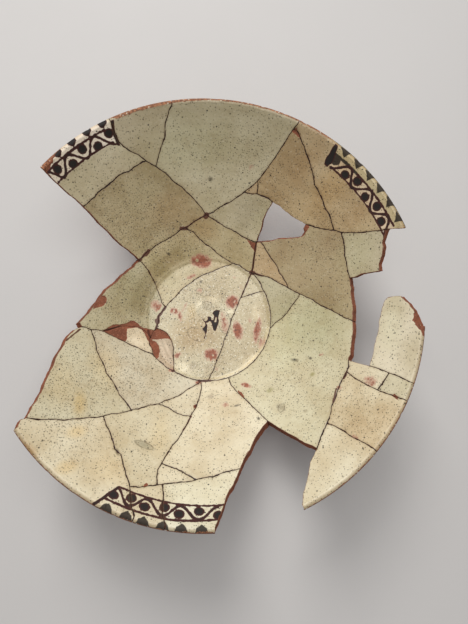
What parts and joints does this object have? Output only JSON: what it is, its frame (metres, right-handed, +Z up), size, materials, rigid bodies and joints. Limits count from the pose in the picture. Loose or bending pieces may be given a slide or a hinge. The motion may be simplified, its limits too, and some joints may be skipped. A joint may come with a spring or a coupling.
{
  "type": "mended broken earthenware bowl",
  "caption": "Shallow flaring glazed earthenware bowl, broken and mended from its sherds, with painted rim panels, flaked glaze, worn lip and open gaps where pieces are lost.",
  "frame": {"origin": "centre of the foot's flat underside, on the bowl's axis", "axes": "+Z up along the bowl's axis, +Y towards the long whole stretch of rim, +X towards the freestanding arm of rim"},
  "size_m": [0.2891, 0.32, 0.1],
  "materials": {
    "glaze_cream": "worn glaze over red clay",
    "glaze_sage": "worn glaze over red clay",
    "glaze_tan": "worn glaze over red clay",
    "glaze_olive": "worn glaze over red clay",
    "glaze_gloss": "worn glaze over red clay",
    "glaze_pink": "worn glaze over red clay"
  },
  "bodies": {
    "root": {"rim_sherd_west": "glaze_sage", "rim_sherd_northwest": "glaze_sage", "rim_sherd_north": "glaze_sage", "rim_sherd_northeast": "glaze_tan", "rim_sherd_arm": "glaze_sage", "rim_patch_east": "glaze_sage", "rim_sherd_southeast": "glaze_tan", "rim_sherd_tip": "glaze_cream", "rim_sherd_south": "glaze_cream", "rim_patch_south": "glaze_cream", "rim_sherd_southwest": "glaze_cream", "wall_sherd_northwest": "glaze_olive", "wall_sherd_north": "glaze_sage", "wall_chip_north": "glaze_tan", "wall_wedge_northeast": "glaze_tan", "wall_sherd_east": "glaze_sage", "wall_sherd_northeast": "glaze_pink", "wall_sliver_northeast": "glaze_tan", "wall_sherd_above_well": "glaze_olive", "wall_sherd_beside_well": "glaze_olive", "wall_sherd_west": "glaze_olive", "wall_tongue_west": "glaze_cream", "wall_sherd_outer_west": "glaze_cream", "wall_sherd_southwest": "glaze_cream", "wall_sherd_south": "glaze_cream", "wall_wedge_south": "glaze_cream", "wall_sherd_below_well": "glaze_cream", "wall_sliver_south": "glaze_cream", "wall_sherd_southeast": "glaze_cream", "wall_patch_southeast": "glaze_cream", "wall_wedge_east": "glaze_sage", "well_sherd_centre": "glaze_gloss", "well_chip_northeast": "glaze_gloss", "well_sherd_east": "glaze_gloss", "well_patch_west": "glaze_pink"}
  },
  "joints": []
}
